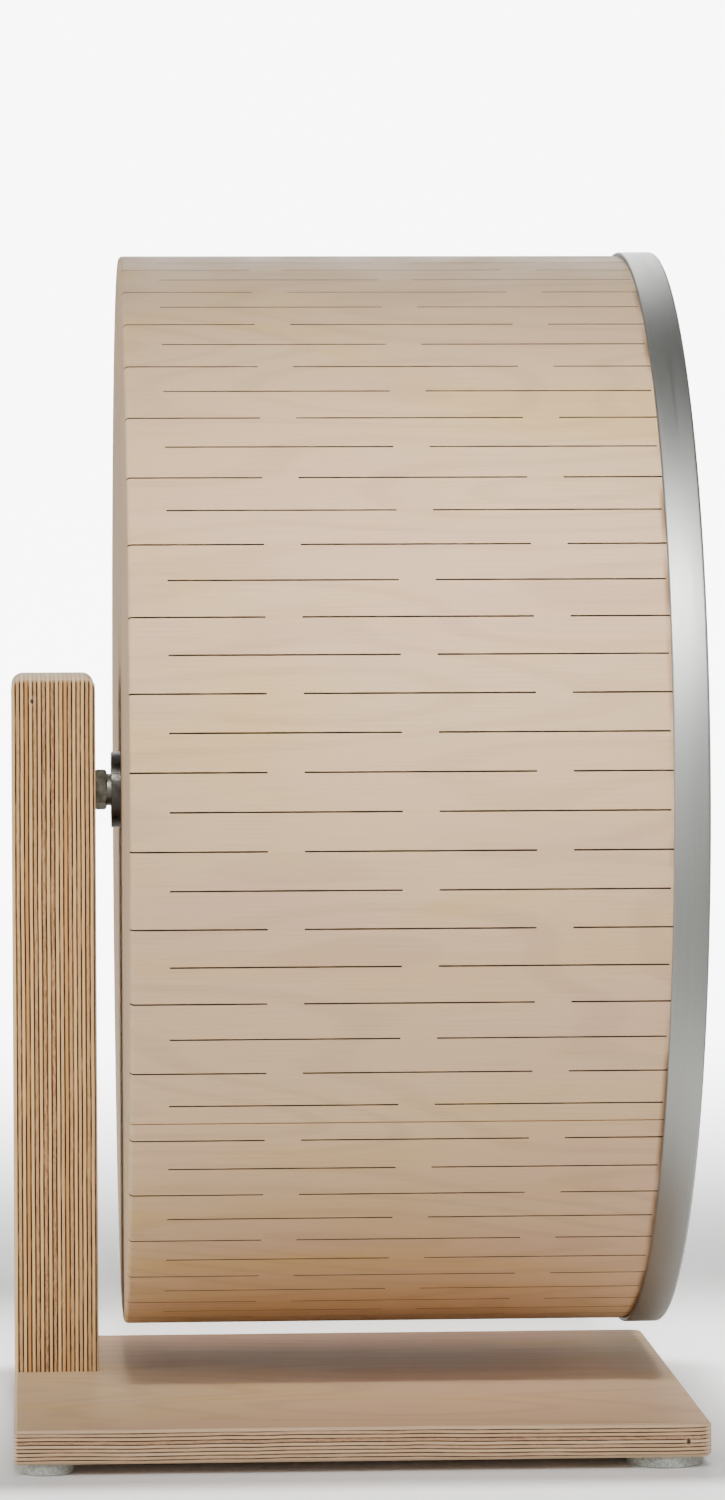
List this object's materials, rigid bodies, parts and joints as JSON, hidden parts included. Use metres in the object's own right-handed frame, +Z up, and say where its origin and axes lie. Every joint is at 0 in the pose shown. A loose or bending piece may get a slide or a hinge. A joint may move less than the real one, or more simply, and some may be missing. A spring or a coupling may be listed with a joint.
{
  "type": "tortoise exercise wheel",
  "caption": "Wide plywood running drum with rows of bending slits and a metal-trimmed open mouth, turning on a bolt and ball bearings in a single plywood post on a flat base.",
  "frame": {"origin": "on the ground under the axle, half way along the base board; the centre of the bounding box's bottom", "axes": "+X along the axle from the post to the drum's open mouth, +Z up, +Y away from the long front of the base"},
  "size_m": [0.1832, 0.3021, 0.3247],
  "materials": {
    "thick_plywood": "sanded, edge plies showing",
    "drum_plywood": "sanded pale birch",
    "dowel_wood": "turned beech",
    "trim_metal": "satin",
    "steel": "dull zinc",
    "bearing_steel": "ground, slightly dark",
    "nylon": "matte",
    "foot_pad": "matte grey"
  },
  "bodies": {
    "stand": {"base_board": "thick_plywood", "support_post": "thick_plywood", "post_screws": "steel", "post_dowel": "dowel_wood", "foot_pad_post_front": "foot_pad", "foot_pad_post_back": "foot_pad", "foot_pad_mouth_front": "foot_pad", "foot_pad_mouth_back": "foot_pad", "axle_bolt": "steel", "bolt_head_washer": "steel", "post_nut": "steel", "outer_shim": "steel", "outer_bearing_inner_ring": "bearing_steel", "bearing_spacer": "steel", "inner_bearing_inner_ring": "bearing_steel", "inner_shim": "steel", "lock_nut": "steel", "lock_nut_insert": "nylon"},
    "wheel": {"shell_sheet_lower": "drum_plywood", "shell_sheet_upper": "drum_plywood", "back_panel": "drum_plywood", "hub_disc": "drum_plywood", "hub_screws": "steel", "edge_trim": "trim_metal", "outer_bearing_outer_ring": "bearing_steel", "inner_bearing_outer_ring": "bearing_steel", "bearing_shields": "bearing_steel"},
    "ball_cages": {"bearing_balls": "bearing_steel", "bearing_cages": "steel"}
  },
  "joints": [
    {"name": "wheel_spin", "type": "hinge", "parent": "stand", "child": "wheel", "pos_m": [0, 0, 0.17365], "axis": [1, 0, 0], "continuous": true},
    {"name": "cage_spin", "type": "hinge", "parent": "stand", "child": "ball_cages", "pos_m": [0, 0, 0.17365], "axis": [1, 0, 0], "continuous": true}
  ],
  "couplings": [
    {"joint": "cage_spin", "follows": "wheel_spin", "ratio": 0.6411}
  ]
}
